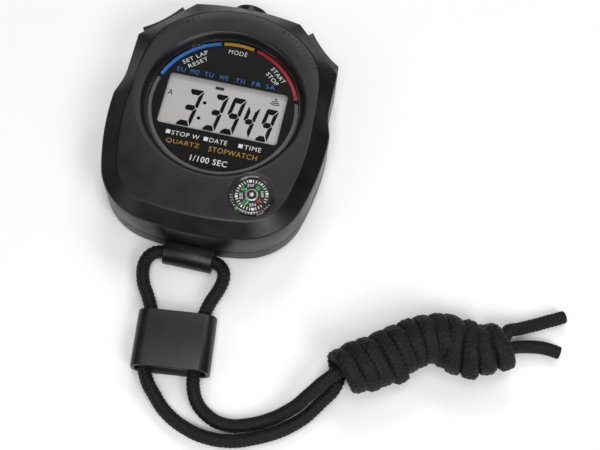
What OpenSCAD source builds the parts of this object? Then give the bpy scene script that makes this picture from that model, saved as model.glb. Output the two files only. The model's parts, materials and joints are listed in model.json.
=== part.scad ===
// Digital stopwatch with a button compass and a lanyard, lying on its back.
// The origin is on the dial's axis, on the back face. +X is to the right of the face,
// +Y points to the mode button and +Z comes out of the face.

/* [Case] */
// Height of the flat front panel above the back face
case_h = 17.5; // [16.5:0.5:19]
// Height of the outer edge where the front chamfer starts
edge_h = 14.5; // [14:0.1:15]
// Height of the joint between the two shells
split_h = 5.5; // [5:0.1:5.8]
// Thickness of the shells' walls
wall = 1.8; // [1.6:0.1:2]
// Half width of the upper body, above the waist
shoulder_half_w = 28; // [27.8:0.1:28.4]
// Half width of the lower body, below the waist
body_half_w = 29.7; // [29.5:0.1:30]
// Distance from the dial's axis to the top of the case
body_top = 31.6; // [31.4:0.1:32]
// Distance from the dial's axis to the bottom of the case
body_bottom = 37.6; // [37.4:0.1:38]

/* [Dial] */
// Radius of the clear window
lens_r = 20.7; // [20.4:0.1:20.8]
// Height of the printed dial's face
dial_h = 14; // [13.9:0.1:14.1]
// Width of the display opening in the dial
window_w = 32.7; // [31:0.1:33.5]
// Height of the display opening in the dial
window_h = 15.5; // [14:0.1:16]

/* [Buttons] */
// How far each button travels
travel = 0.9; // [0.5:0.1:1]
// Length of the corner buttons along the case
corner_button_l = 12.9; // [11:0.1:13.2]
// Height of the corner buttons
corner_button_h = 8.2; // [7:0.1:8.4]
// How far the corner buttons stand out of the case at their ends
corner_button_out = 2; // [1.5:0.1:2.5]
// Radius of the mode button
mode_button_r = 5.2; // [4:0.1:5.3]
// How far the mode button stands out of the case
mode_button_out = 2.4; // [1.5:0.1:3]

/* [Compass] */
// Radius of the compass cup
compass_r = 6; // [5.5:0.1:6]
// Radius of the compass card
card_r = 4.4; // [3.5:0.1:4.6]

/* [Lanyard] */
// Diameter of the cord
cord_d = 3.5; // [3:0.1:3.6]
// Width of the lug that the cord passes through
lug_w = 12.9; // [11:0.1:14]
// Width of the sliding sleeve
slider_w = 20.2; // [19.8:0.1:21]
// Length of the sliding sleeve
slider_l = 15; // [12:0.5:15]
// Height of the sliding sleeve
slider_h = 7.6; // [7.2:0.1:8]

/* [Hidden] */
$fn = 96;

// Colours
case_black = [0.16, 0.16, 0.17];
gloss_black = [0.05, 0.05, 0.06];
cord_black = [0.09, 0.09, 0.10];
steel = [0.75, 0.76, 0.78];
brass = [0.80, 0.65, 0.30];
board_green = [0.10, 0.36, 0.20];
clear = [0.85, 0.92, 0.95, 0.4];
display_grey = [0.72, 0.74, 0.72];

// Clearances
slip = 0.05;
button_gap = 0.1;
cut = 1;

// Radii of the case's outline
bottom_r = 82;
side_r = 75;
corner_r = 17;
side_y = -4;
corner_face = 31.75;
top_corner = [14.8, 30.1];
side_corner_y = 16.9;

// The front panel inside the chamfer
panel_half_w = 24.85;
panel_bottom = 33.65;
panel_top_r = 28;
panel_bottom_r = 80;
panel_side_r = 70;
panel_corner_r = 12;
panel_side_y = -6;
blend_power = 12;

// Heights inside the case
back_floor = 1.6;
lens_face = dial_h + 1;
dial_back = dial_h - 0.2;
seat_back = 12.9;
glass_t = 0.6;
film_t = 0.2;
lcd_top = 12.8;
front_glass_z = lcd_top - film_t - glass_t;
rear_glass_z = front_glass_z - glass_t;
reflector_z = rear_glass_z - film_t;
board_top = 9.6;
board_back = 8.6;
ceiling_h = 15.7;
lcd_y = -0.35;

// Sizes of the pieces inside
seat_r = 20.8;
seat_cup_r = 22.4;
bezel_r = 2;
dish_slope = 0.07;
dish_r = 24.4;
dish_shift = 1.6;
board_r = 23.4;
board_screw_x = 14.2;
board_screw_y = 15.2;
top_screw = [11, 26.3];
low_screw = [19.5, -26];
screw_r = 1;
board_screw_r = 0.85;
cell_at = [-11, -8];
cell_r = 5.8;
cell_h = 5.4;
cell_z = 2.9;
buzzer_at = [9.5, -9];
compass_at = [13.6, -25];
cup_floor = 13.9;

// Buttons, measured from the dial's axis towards each button
button_z = 8.2;
rib_in = 25;
rib_t = 0.8;
stem_tip = 24.6;
stem_r = 1.5;
leaf_in = 24.2;
leaf_t = 0.15;
flange_t = 1.2;
corner_sweep_r = 30;
corner_z = 9;
corner_shift = 0.9;
top_bow = 0.26;

// The lanyard's route
cord_r = cord_d / 2;
cord_sides = 8;
channel = [-39.9, 3.2];
channel_r = 1.95;
lug_h = 6.4;
lug_end_r = 3.1;
slider_at = [2.25, -63.7];
slider_turn = 6.3;
slider_wall = 1.15;
slider_corner = 3.2;
left_route = [
    [0, -39.9, 3.2], [-3.5, -39.9, 3.2], [-6.6, -39.9, 3.2], [-8.6, -40.5, 3.2],
    [-10.2, -41.9, 3.2], [-10.9, -44, 3.1], [-10.7, -46.6, 3], [-9.7, -49.4, 3],
    [-8, -52.2, 3], [-6.4, -54.9, 3], [-5.2, -57.6, 3], [-4.8, -61, 3],
    [-4.5, -64.5, 3], [-4.1, -68.2, 3], [-3.4, -71.9, 3], [-1.9, -74.7, 3],
    [0.4, -77.3, 2.7], [3.4, -80.2, 1.9], [7.2, -82.6, 1.75], [11.4, -84.2, 1.75],
    [16, -85, 1.75], [21.8, -84.6, 1.75], [28.2, -82.3, 1.75], [34.4, -78.7, 1.75],
    [38.6, -74.8, 2.1], [41.4, -70.4, 3.1], [43.9, -66.7, 4.3], [46.8, -63.4, 5.2]
];
right_route = [
    [0, -39.9, 3.2], [3.5, -39.9, 3.2], [6.6, -39.9, 3.2], [8.5, -40.5, 3.2],
    [9.9, -42, 3.2], [10.3, -44.2, 3.1], [9.8, -47, 3], [8.8, -50, 3],
    [8, -53, 3], [7.7, -56, 3], [7.9, -59.6, 3], [8.3, -63.2, 3],
    [8.6, -66.8, 3], [9, -70.4, 3], [9.6, -73.4, 3], [11, -76.4, 2.7],
    [13.7, -79, 2], [17.4, -80.6, 1.75], [21.6, -80.7, 1.75], [26.04, -79.32, 1.9],
    [31.08, -76.74, 2.5], [35.68, -73.1, 3.96], [38.8, -69.4, 5.6], [41.9, -65.6, 7.2],
    [45.2, -62.3, 8.4]
];
hank_route = [
    [44, -63, 6.9], [48, -60.8, 6.9], [53, -57.6, 6.9], [57.4, -54.4, 6.9],
    [61.8, -51.2, 6.9], [66.5, -49, 6.9], [70.5, -48.5, 6.9], [74.5, -49.5, 6.9],
    [78, -49.8, 6.9], [81.6, -48.4, 6.9], [84.4, -46.4, 6.9]
];
hank_r = 6.85;
hank_end_r = 4.6;
hank_sides = 24;
tail_a_route = [
    [81.5, -45.4, 6.6], [84.6, -43, 5], [88, -40.6, 3.2], [92, -38.2, 2],
    [96, -36, 1.75], [99.7, -34, 1.75]
];
tail_b_route = [
    [81.6, -48.6, 4.2], [85.4, -46.8, 3.6], [89, -45, 2.8], [92.6, -44, 1.9],
    [96.2, -43.7, 1.75], [99.6, -44.1, 1.75]
];

// Geometry helpers
function unit(v) = v / norm(v);
function angle(v) = atan2(v.y, v.x);
function rest(list) = [for (i = [1 : len(list) - 1]) list[i]];
function polar(r, a) = r * [cos(a), sin(a)];
function arc(c, r, a, b, n) = [for (i = [0 : n]) c + polar(r, a + (b - a) * i / n)];
function line(a, b, n) = [for (i = [1 : n]) a + (b - a) * i / n];
function lift(outline, z) = [for (p = outline) [p.x, p.y, z]];
function normal(v) = [v.y, -v.x] / norm(v);

// Centre of an arc that lies r1 from c1 and r2 from c2, on the lower right
function tangent_centre(c1, r1, c2, r2) =
    let (
        d = norm(c2 - c1),
        a = (r1 * r1 - r2 * r2 + d * d) / (2 * d),
        u = (c2 - c1) / d
    )
    c1 + a * u + sqrt(r1 * r1 - a * a) * [-u.y, u.x];

// Distance along u from the origin to the far side of a circle
function reach(u, c, r) = u * c + sqrt(pow(u * c, 2) + r * r - c * c);

// Outline of the case at its outer edge, anticlockwise from the bottom
bottom_c = [0, bottom_r - body_bottom];
side_c = [body_half_w - side_r, side_y];
corner_c = tangent_centre(bottom_c, bottom_r - corner_r, side_c, side_r - corner_r);
bottom_end = angle(corner_c - bottom_c);
side_end = angle(corner_c - side_c);
top_r = (pow(top_corner.x, 2) + pow(body_top - top_corner.y, 2)) / (2 * (body_top - top_corner.y));
top_c = [0, body_top - top_r];
waist = [
    [body_half_w, -3], [body_half_w - 0.15, -1.9], [body_half_w - 0.55, -0.6],
    [shoulder_half_w + 0.6, 1.3], [shoulder_half_w + 0.15, 3.3], [shoulder_half_w, 5.2]
];
waist_end = waist[len(waist) - 1];
side_corner = [shoulder_half_w, side_corner_y];
right_half = concat(
    arc(bottom_c, bottom_r, -90, bottom_end, 3),
    rest(arc(corner_c, corner_r, bottom_end, side_end, 12)),
    rest(arc(side_c, side_r, side_end, 0, 5)),
    waist,
    line(waist_end, side_corner, 4),
    line(side_corner, top_corner, 6),
    rest(arc(top_c, top_r, angle(top_corner - top_c), 90, 5))
);
half_count = len(right_half);
outline = concat(right_half, [for (i = [half_count - 2 : -1 : 1]) [-right_half[i].x, right_half[i].y]]);

function inset(o, d) = [
    for (i = [0 : len(o) - 1])
        let (
            before = normal(o[i] - o[(i + len(o) - 1) % len(o)]),
            after = normal(o[(i + 1) % len(o)] - o[i])
        )
        o[i] - d * (before + after) / (1 + before * after)
];

// Outline of the front panel, one point for each point of the case's outline
panel_bottom_c = [0, panel_bottom_r - panel_bottom];
panel_side_c = [panel_half_w - panel_side_r, panel_side_y];
panel_corner_c = tangent_centre(
    panel_bottom_c, panel_bottom_r - panel_corner_r, panel_side_c, panel_side_r - panel_corner_r
);
panel_corner_low = angle(
    panel_bottom_c + panel_bottom_r * unit(panel_corner_c - panel_bottom_c)
);
panel_corner_high = angle(
    panel_side_c + panel_side_r * unit(panel_corner_c - panel_side_c)
);
function panel_side(u) =
    u.y * panel_half_w > panel_side_y * u.x
        ? panel_half_w / max(u.x, 0.01)
        : reach(u, panel_side_c, panel_side_r);
function panel_upper(u) =
    pow(
        pow(panel_side(u), -blend_power)
            + pow(panel_top_r / (1 - 0.9 * max(0, -u.y)), -blend_power),
        -1 / blend_power
    );
function panel_reach(u) =
    angle(u) < panel_corner_low ? reach(u, panel_bottom_c, panel_bottom_r)
        : angle(u) < panel_corner_high ? reach(u, panel_corner_c, panel_corner_r)
        : panel_upper(u);
function panel(d) = [
    for (p = outline) unit(p) * (panel_reach(unit([abs(p.x), p.y])) - d)
];

// Solid through a stack of matching closed outlines
module loft(rings) {
    n = len(rings[0]);
    last = (len(rings) - 1) * n;
    sides = [
        for (k = [0 : len(rings) - 2], i = [0 : n - 1])
            let (j = (i + 1) % n, a = k * n, b = a + n)
            each [[a + i, b + i, b + j], [a + i, b + j, a + j]]
    ];
    low_cap = [for (i = [0 : n - 1]) i];
    high_cap = [for (i = [n - 1 : -1 : 0]) last + i];
    polyhedron([for (r = rings) each r], concat([low_cap], sides, [high_cap]));
}

// Rings of a round tube along a route; radii holds one radius for each point
function tangents(route) = [
    for (i = [0 : len(route) - 1])
        unit(route[min(i + 1, len(route) - 1)] - route[max(i - 1, 0)])
];
function carried(t, n, i = 1) =
    i >= len(t) ? [n] : concat([n], carried(t, unit(n - (n * t[i]) * t[i]), i + 1));
function tube_rings(route, radii, sides) =
    let (t = tangents(route), n = carried(t, unit(cross(t[0], [0, 0, 1]))))
    [
        for (i = [0 : len(route) - 1])
            [
                for (k = [0 : sides - 1])
                    route[i] + radii[i] * (
                        cos(360 * k / sides) * n[i] - sin(360 * k / sides) * cross(n[i], t[i])
                    )
            ]
    ];

module cord_tube(route) {
    color(cord_black)
        loft(tube_rings(route, [for (p = route) cord_r], cord_sides));
}

// Coil spring along +Z from z = 0
module coil(r, wire_r, turns, length, steps = 10) {
    count = turns * steps;
    rise = (length - 2 * wire_r) / count;
    route = [
        for (i = [0 : count])
            [r * cos(360 * i / steps), r * sin(360 * i / steps), wire_r + rise * i]
    ];
    loft(tube_rings(route, [for (p = route) wire_r], 6));
}

// Frames of the three buttons: +X points out of the case, along the button
module corner_frame(side) {
    mirror([side < 0 ? 1 : 0, 0, 0])
        rotate([0, 0, 45])
            translate([0, corner_shift, 0])
                children();
}

module mode_frame() {
    rotate([0, 0, 90])
        children();
}

module along_x() {
    rotate([0, 90, 0])
        children();
}

module block(x0, x1, half_y, z0, z1) {
    translate([x0, -half_y, z0])
        cube([x1 - x0, 2 * half_y, z1 - z0]);
}

module button_openings() {
    for (side = [-1, 1])
        corner_frame(side)
            block(
                corner_face - wall - cut, corner_face + cut,
                corner_button_l / 2 + button_gap,
                corner_z - corner_button_h / 2 - button_gap,
                corner_z + corner_button_h / 2 + button_gap
            );
    mode_frame()
        translate([body_top - wall - cut, 0, button_z])
            along_x()
                cylinder(r = mode_button_r + button_gap, h = wall + 2 * cut);
}

module screw_places() {
    for (side = [-1, 1], at = [top_screw, low_screw])
        translate([side * at.x, at.y, 0])
            children();
}

// Front shell
module bezel_recess() {
    bezel_c = [seat_r + bezel_r, case_h - bezel_r];
    rotate_extrude()
        polygon(concat(
            [[0, dial_back], [seat_r, dial_back]],
            arc(bezel_c, bezel_r, 180, 90, 8),
            [[seat_r + bezel_r, case_h + cut], [0, case_h + cut]]
        ));
}

module dial_dish() {
    dish_depth = 1;
    translate([0, dish_shift, case_h - dish_depth])
        cylinder(
            r1 = dish_r - dish_depth / dish_slope,
            r2 = dish_r + 0.2 / dish_slope,
            h = dish_depth + 0.2
        );
}

module guide_rib() {
    rib_half_w = 6;
    difference() {
        block(rib_in, rib_in + rib_t, rib_half_w, split_h, ceiling_h + 0.3);
        translate([rib_in - cut, 0, button_z])
            along_x()
                cylinder(r = stem_r + slip, h = rib_t + 2 * cut);
    }
}

module front_shell() {
    edge_round = 0.35;
    difference() {
        loft([
            lift(outline, split_h),
            lift(outline, edge_h - edge_round),
            lift(inset(outline, edge_round), edge_h + edge_round / 2),
            lift(panel(-edge_round), case_h - edge_round / 2),
            lift(panel(edge_round), case_h)
        ]);
        loft([
            lift(inset(outline, wall), split_h - cut),
            lift(inset(outline, wall), edge_h - 1.3),
            lift(panel(1.5), ceiling_h)
        ]);
    }
}

module front_case() {
    boss_r = 3;
    post_r = 2.2;
    color(case_black)
        difference() {
            union() {
                front_shell();
                translate([0, 0, seat_back])
                    cylinder(r = seat_cup_r, h = ceiling_h + 0.5 - seat_back);
                translate([compass_at.x, compass_at.y, seat_back])
                    cylinder(r = compass_r + 1.2, h = ceiling_h + 0.5 - seat_back);
                screw_places()
                    translate([0, 0, split_h])
                        cylinder(r = boss_r, h = ceiling_h - split_h - 0.4);
                for (x = [-1, 1], y = [-1, 1])
                    translate([x * board_screw_x, y * board_screw_y, board_top])
                        cylinder(r = post_r, h = seat_back - board_top + 0.5);
                for (side = [-1, 1])
                    corner_frame(side)
                        guide_rib();
                mode_frame()
                    guide_rib();
            }
            bezel_recess();
            dial_dish();
            translate([-window_w / 2 - 0.8, lcd_y - window_h / 2 - 0.8, seat_back - cut])
                cube([window_w + 1.6, window_h + 1.6, 2 * cut + 1]);
            translate([compass_at.x, compass_at.y, cup_floor])
                cylinder(r = compass_r + 0.02, h = case_h);
            screw_places()
                translate([0, 0, split_h - cut])
                    cylinder(r = screw_r + 0.02, h = 6 + cut);
            for (x = [-1, 1], y = [-1, 1])
                translate([x * board_screw_x, y * board_screw_y, board_top - cut])
                    cylinder(r = board_screw_r + 0.02, h = cut + 2.8);
            button_openings();
        }
}

// Rear shell with the lanyard lug
module lug() {
    lug_round = lug_h / 2;
    translate([-lug_w / 2, 0, 0])
        rotate([90, 0, 90])
            linear_extrude(lug_w)
                polygon(concat(
                    [
                        [-36, 0], [-36, split_h],
                        [-body_bottom - 0.2, split_h], [-body_bottom - 0.2, lug_h]
                    ],
                    arc([channel.x, lug_round], lug_round, 90, 270, 16)
                ));
}

module back_case() {
    edge_round = 1.2;
    boss_r = 3;
    head_r = 2.15;
    head_depth = 2;
    holder_r = 6.1;
    color(case_black)
        difference() {
            union() {
                difference() {
                    loft([
                        lift(inset(outline, edge_round), 0),
                        lift(inset(outline, edge_round * 0.35), edge_round * 0.35),
                        lift(outline, edge_round),
                        lift(outline, split_h)
                    ]);
                    translate([0, 0, back_floor])
                        linear_extrude(split_h)
                            polygon(inset(outline, wall));
                }
                screw_places()
                    translate([0, 0, back_floor - 0.5])
                        cylinder(r = boss_r, h = split_h - back_floor + 0.5);
                translate([cell_at.x, cell_at.y, back_floor - 0.5])
                    difference() {
                        cylinder(r = holder_r + 1, h = 4);
                        cylinder(r = holder_r, h = 4 + cut);
                        translate([-9, -1.6, 0.5])
                            cube([9, 3.2, 5]);
                    }
                lug();
            }
            screw_places() {
                translate([0, 0, -cut])
                    cylinder(r = screw_r + 0.1, h = split_h + 2 * cut);
                translate([0, 0, -cut])
                    cylinder(r = head_r, h = head_depth + cut);
            }
            translate([-lug_w / 2 - cut, channel.x, channel.y])
                along_x()
                    cylinder(r = channel_r, h = lug_w + 2 * cut);
            button_openings();
        }
}

module cross_screw(r, length, head_r, head_h) {
    slot_w = head_r / 5;
    difference() {
        union() {
            cylinder(r = r, h = length + head_h);
            cylinder(r = head_r, h = head_h);
        }
        for (turn = [0, 90])
            rotate([0, 0, turn])
                translate([-head_r * 0.6, -slot_w / 2, -cut])
                    cube([head_r * 1.2, slot_w, cut + head_h / 2]);
    }
}

module case_screws() {
    color(steel)
        screw_places()
            translate([0, 0, 0.6])
                cross_screw(screw_r, 8.6, 2, 1.4);
}

// Window and display
module window_lens() {
    bevel = 0.25;
    color(clear)
        translate([0, 0, dial_h])
            rotate_extrude()
                polygon([
                    [0, 0], [lens_r, 0], [lens_r, lens_face - dial_h - bevel],
                    [lens_r - bevel, lens_face - dial_h], [0, lens_face - dial_h]
                ]);
}

module rounded_window(h) {
    r = 0.9;
    x = window_w / 2 - r;
    y = window_h / 2 - r;
    translate([0, lcd_y, 0]) {
        for (sx = [-1, 1], sy = [-1, 1])
            translate([sx * x, sy * y, 0])
                cylinder(r = r, h = h);
        translate([-x, -y - r, 0])
            cube([2 * x, 2 * y + 2 * r, h]);
        translate([-x - r, -y, 0])
            cube([2 * x + 2 * r, 2 * y, h]);
    }
}

module dial_plate() {
    color(gloss_black)
        difference() {
            translate([0, 0, dial_back])
                cylinder(r = lens_r, h = dial_h - dial_back);
            translate([0, 0, dial_back - cut])
                rounded_window(dial_h - dial_back + 2 * cut);
        }
}

module slab(w, y0, y1, z, t) {
    translate([-w / 2, lcd_y + y0, z])
        cube([w, y1 - y0, t]);
}

glass_w = 38;
glass_half_h = 10;
ledge = 2.8;

module lcd_front_polarizer() {
    color(display_grey)
        slab(glass_w - 1, -glass_half_h + 0.5, glass_half_h - 0.5, lcd_top - film_t, film_t);
}

module lcd_front_glass() {
    color(clear)
        slab(glass_w, -glass_half_h, glass_half_h, front_glass_z, glass_t);
}

module lcd_rear_glass() {
    color(clear)
        slab(glass_w, -glass_half_h + ledge, glass_half_h, rear_glass_z, glass_t);
}

module lcd_reflector() {
    color(display_grey)
        slab(glass_w - 1, -glass_half_h + ledge + 0.5, glass_half_h - 0.5, reflector_z, film_t);
}

module lcd_frame() {
    frame_w = 41;
    frame_half_h = 11.8;
    shelf = 1;
    color([0.85, 0.85, 0.83])
        difference() {
            slab(frame_w, -frame_half_h, frame_half_h, board_top, seat_back - board_top);
            slab(
                glass_w + 0.1, -glass_half_h - slip, glass_half_h + slip,
                reflector_z, seat_back
            );
            slab(glass_w - 2 * shelf, -glass_half_h - slip, glass_half_h - shelf, 0, seat_back);
        }
}

module zebra_strip() {
    color([0.85, 0.55, 0.65])
        slab(34, -glass_half_h + 0.4, -glass_half_h + 2.2, board_top, front_glass_z - board_top);
}

// Circuit board and what is on it
module circuit_board() {
    flat_y = 21.5;
    color(board_green)
        difference() {
            translate([0, 0, board_back])
                intersection() {
                    cylinder(r = board_r, h = board_top - board_back);
                    translate([-board_r, -flat_y, -cut])
                        cube([2 * board_r, flat_y + board_r, 3 * cut]);
                }
            for (x = [-1, 1], y = [-1, 1])
                translate([x * board_screw_x, y * board_screw_y, board_back - cut])
                    cylinder(r = board_screw_r + 0.1, h = 3 * cut);
        }
}

module board_screws() {
    head_h = 1;
    color(steel)
        for (x = [-1, 1], y = [-1, 1])
            translate([x * board_screw_x, y * board_screw_y, board_back - head_h])
                cross_screw(board_screw_r, 3.4, 1.6, head_h);
}

module chip_blob() {
    blob_r = 4;
    blob_h = 1.2;
    dome_r = (blob_r * blob_r + blob_h * blob_h) / (2 * blob_h);
    color(gloss_black)
        translate([7, 13, board_back])
            rotate_extrude()
                polygon(concat(
                    [[0, 0], [0, -blob_h]],
                    rest(arc([0, dome_r - blob_h], dome_r, -90, -asin((dome_r - blob_h) / dome_r), 8))
                ));
}

module quartz_crystal() {
    can_r = 1;
    color(steel)
        translate([-9, 11, board_back - can_r]) {
            along_x()
                cylinder(r = can_r, h = 6);
            for (y = [-0.5, 0.5])
                translate([5, y - 0.1, can_r - 0.3])
                    cube([2.6, 0.2, 0.3]);
        }
}

module board_capacitors() {
    size = [1.6, 0.9, 0.6];
    places = [[0, 6], [3, 6], [-3, 6], [14, 5], [17, 5], [0, -16]];
    color([0.72, 0.60, 0.42])
        for (p = places)
            translate([p.x, p.y, board_back - size.z])
                cube(size);
}

module button_cell() {
    rim = 0.4;
    color(steel)
        translate([cell_at.x, cell_at.y, cell_z])
            rotate_extrude()
                polygon([
                    [0, 0], [cell_r - 1.2, 0], [cell_r - 1, rim], [cell_r, rim + 0.2],
                    [cell_r, cell_h], [0, cell_h]
                ]);
}

module battery_positive_clip() {
    clip_t = board_back - cell_z - cell_h;
    color(steel)
        translate([cell_at.x, cell_at.y, board_back - clip_t])
            translate([-4, -2, 0])
                cube([12, 4, clip_t]);
}

module battery_negative_contact() {
    sheet = 0.3;
    base_l = 8;
    color(steel)
        translate([cell_at.x, cell_at.y, back_floor]) {
            translate([-base_l, -1.2, 0])
                cube([base_l + 2, 2.4, sheet]);
            rotate([90, 0, 0])
                translate([0, 0, -1.2])
                    linear_extrude(2.4)
                        polygon([
                            [1.6, 0], [2, 0], [-1.5, cell_z - back_floor],
                            [-3, cell_z - back_floor - 0.3], [-3, cell_z - back_floor - 0.6],
                            [-1.6, cell_z - back_floor - 0.4]
                        ]);
            translate([-base_l, -1.2, 0])
                cube([sheet, 2.4, board_back - back_floor]);
        }
}

module buzzer_plate() {
    color(brass)
        translate([buzzer_at.x, buzzer_at.y, back_floor])
            cylinder(r = 10, h = 0.2);
}

module buzzer_ceramic() {
    color([0.90, 0.88, 0.80])
        translate([buzzer_at.x, buzzer_at.y, back_floor + 0.2])
            cylinder(r = 7, h = 0.2);
}

module buzzer_spring() {
    color(steel)
        translate([buzzer_at.x, buzzer_at.y, back_floor + 0.4])
            coil(1.2, 0.15, 5, board_back - back_floor - 0.4);
}

// Buttons, their springs and switch leaves
module button_back(inner, half_w) {
    block(inner - flange_t, inner, half_w, button_z - 4.9, button_z + 4.9);
    translate([stem_tip, 0, button_z])
        along_x()
            cylinder(r = stem_r, h = inner - stem_tip);
}

module corner_button(side) {
    tip = corner_face + corner_button_out;
    hollow = tip - corner_sweep_r
        + sqrt(pow(corner_sweep_r, 2) - pow(corner_button_l / 2, 2));
    color(gloss_black)
        corner_frame(side) {
            difference() {
                block(
                    corner_face - wall - slip - flange_t, tip, corner_button_l / 2,
                    corner_z - corner_button_h / 2, corner_z + corner_button_h / 2
                );
                translate([hollow + corner_sweep_r, 0, 0])
                    cylinder(r = corner_sweep_r, h = case_h, $fn = 240);
            }
            button_back(corner_face - wall - slip, corner_button_l / 2 + 0.5);
        }
}

module start_stop_button() {
    corner_button(1);
}

module lap_reset_button() {
    corner_button(-1);
}

module mode_button() {
    inner = body_top - wall - slip - top_bow;
    neck = mode_button_out + wall + slip + top_bow;
    color(gloss_black)
        mode_frame() {
            translate([inner, 0, button_z])
                along_x()
                    rotate_extrude()
                        polygon([
                            [0, 0], [mode_button_r, 0], [mode_button_r, neck - 0.5],
                            [mode_button_r - 0.15, neck - 0.15], [mode_button_r - 0.5, neck],
                            [0, neck]
                        ]);
            button_back(inner, mode_button_r + 0.7);
        }
}

module return_spring(inner) {
    gap = inner - flange_t - rib_in - rib_t;
    color(steel)
        translate([rib_in + rib_t + 0.05, 0, button_z])
            along_x()
                coil(2.15, 0.15, 3, gap - 0.1);
}

module switch_leaf() {
    leaf_w = 2;
    color(brass) {
        block(leaf_in, leaf_in + leaf_t, leaf_w, button_z - 1.5, button_z + 1.4);
        block(leaf_in - 1.6, leaf_in + leaf_t, leaf_w, board_back - leaf_t, board_back);
    }
}

module mode_return_spring() {
    mode_frame()
        return_spring(body_top - wall - slip - top_bow);
}

module start_stop_return_spring() {
    corner_frame(1)
        return_spring(corner_face - wall - slip);
}

module lap_reset_return_spring() {
    corner_frame(-1)
        return_spring(corner_face - wall - slip);
}

module mode_switch_leaf() {
    mode_frame()
        switch_leaf();
}

module start_stop_switch_leaf() {
    corner_frame(1)
        switch_leaf();
}

module lap_reset_switch_leaf() {
    corner_frame(-1)
        switch_leaf();
}

// Button compass
cup_inner_r = compass_r - 0.7;
cup_top = case_h + 0.3;
card_z = 17.1;
card_t = 0.2;

module at_compass(z) {
    translate([compass_at.x, compass_at.y, z])
        children();
}

module compass_cup() {
    color(gloss_black)
        difference() {
            at_compass(cup_floor)
                cylinder(r = compass_r, h = cup_top - cup_floor);
            at_compass(cup_floor + 0.9)
                cylinder(r = cup_inner_r, h = case_h);
        }
}

module compass_dome() {
    skirt = 0.85;
    shoulder = 0.45;
    crown_h = 0.2;
    shell = 0.6;
    flat_r = compass_r - shoulder;
    crown_r = (flat_r * flat_r + crown_h * crown_h) / (2 * crown_h);
    top = skirt + shoulder + crown_h;
    color(clear)
        at_compass(cup_top)
            rotate_extrude()
                polygon(concat(
                    [[cup_inner_r, 0], [compass_r, 0]],
                    arc([flat_r, skirt], shoulder, 0, 85, 5),
                    arc([0, top - crown_r], crown_r, acos(flat_r / crown_r), 90, 4),
                    arc([0, top - shell - crown_r], crown_r, 90, acos(cup_inner_r / crown_r), 4)
                ));
}

module compass_pivot() {
    color(brass)
        at_compass(cup_floor + 0.9) {
            cylinder(r = 0.8, h = 0.5);
            cylinder(r = 0.3, h = card_z + card_t - cup_floor - 0.9);
        }
}

module compass_card() {
    hub_r = 1.3;
    hub_h = 0.5;
    color([0.12, 0.12, 0.13])
        difference() {
            union() {
                at_compass(card_z)
                    cylinder(r = card_r, h = card_t);
                at_compass(card_z + card_t)
                    cylinder(r = hub_r, h = hub_h);
            }
            at_compass(card_z - cut)
                cylinder(r = 0.35, h = card_t + cut + 0.05);
        }
}

module compass_magnet() {
    color(steel)
        at_compass(card_z - 0.9)
            difference() {
                cylinder(r = 2.2, h = 0.9);
                translate([0, 0, -cut])
                    cylinder(r = 0.6, h = 3 * cut);
            }
}

// Lanyard
module lanyard_left_strand() {
    cord_tube(left_route);
}

module lanyard_right_strand() {
    cord_tube(right_route);
}

module lanyard_tail_a() {
    cord_tube(tail_a_route);
}

module lanyard_tail_b() {
    cord_tube(tail_b_route);
}

module lanyard_hank() {
    last = len(hank_route) - 1;
    radii = [for (i = [0 : last]) i == 0 || i == last ? hank_end_r : hank_r];
    color(cord_black)
        loft(tube_rings(hank_route, radii, hank_sides));
}

module rounded_bar(w, h, r, length) {
    x = w / 2 - r;
    z = h / 2 - r;
    for (sx = [-1, 1], sz = [-1, 1])
        translate([sx * x, 0, sz * z])
            rotate([-90, 0, 0])
                cylinder(r = r, h = length);
    translate([-x, 0, -h / 2])
        cube([2 * x, length, h]);
    translate([-w / 2, 0, -z])
        cube([w, length, 2 * z]);
}

module cord_slider() {
    color(case_black)
        translate([slider_at.x, slider_at.y, slider_h / 2])
            rotate([0, 0, slider_turn])
                translate([0, -slider_l / 2, 0])
                    difference() {
                        rounded_bar(slider_w, slider_h, slider_corner, slider_l);
                        translate([0, -cut, 0])
                            rounded_bar(
                                slider_w - 2 * slider_wall, slider_h - 2 * slider_wall,
                                slider_corner - slider_wall, slider_l + 2 * cut
                            );
                    }
}

front_case();
back_case();
case_screws();
window_lens();
dial_plate();
lcd_frame();
lcd_front_polarizer();
lcd_front_glass();
lcd_rear_glass();
lcd_reflector();
zebra_strip();
circuit_board();
board_screws();
chip_blob();
quartz_crystal();
board_capacitors();
button_cell();
battery_positive_clip();
battery_negative_contact();
buzzer_plate();
buzzer_ceramic();
buzzer_spring();
mode_button();
start_stop_button();
lap_reset_button();
mode_return_spring();
start_stop_return_spring();
lap_reset_return_spring();
mode_switch_leaf();
start_stop_switch_leaf();
lap_reset_switch_leaf();
compass_cup();
compass_dome();
compass_card();
compass_pivot();
compass_magnet();
lanyard_left_strand();
lanyard_right_strand();
lanyard_hank();
lanyard_tail_a();
lanyard_tail_b();
cord_slider();
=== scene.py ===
"""Digital stopwatch with a button compass and a lanyard, lying on a pale floor."""
import math

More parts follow.
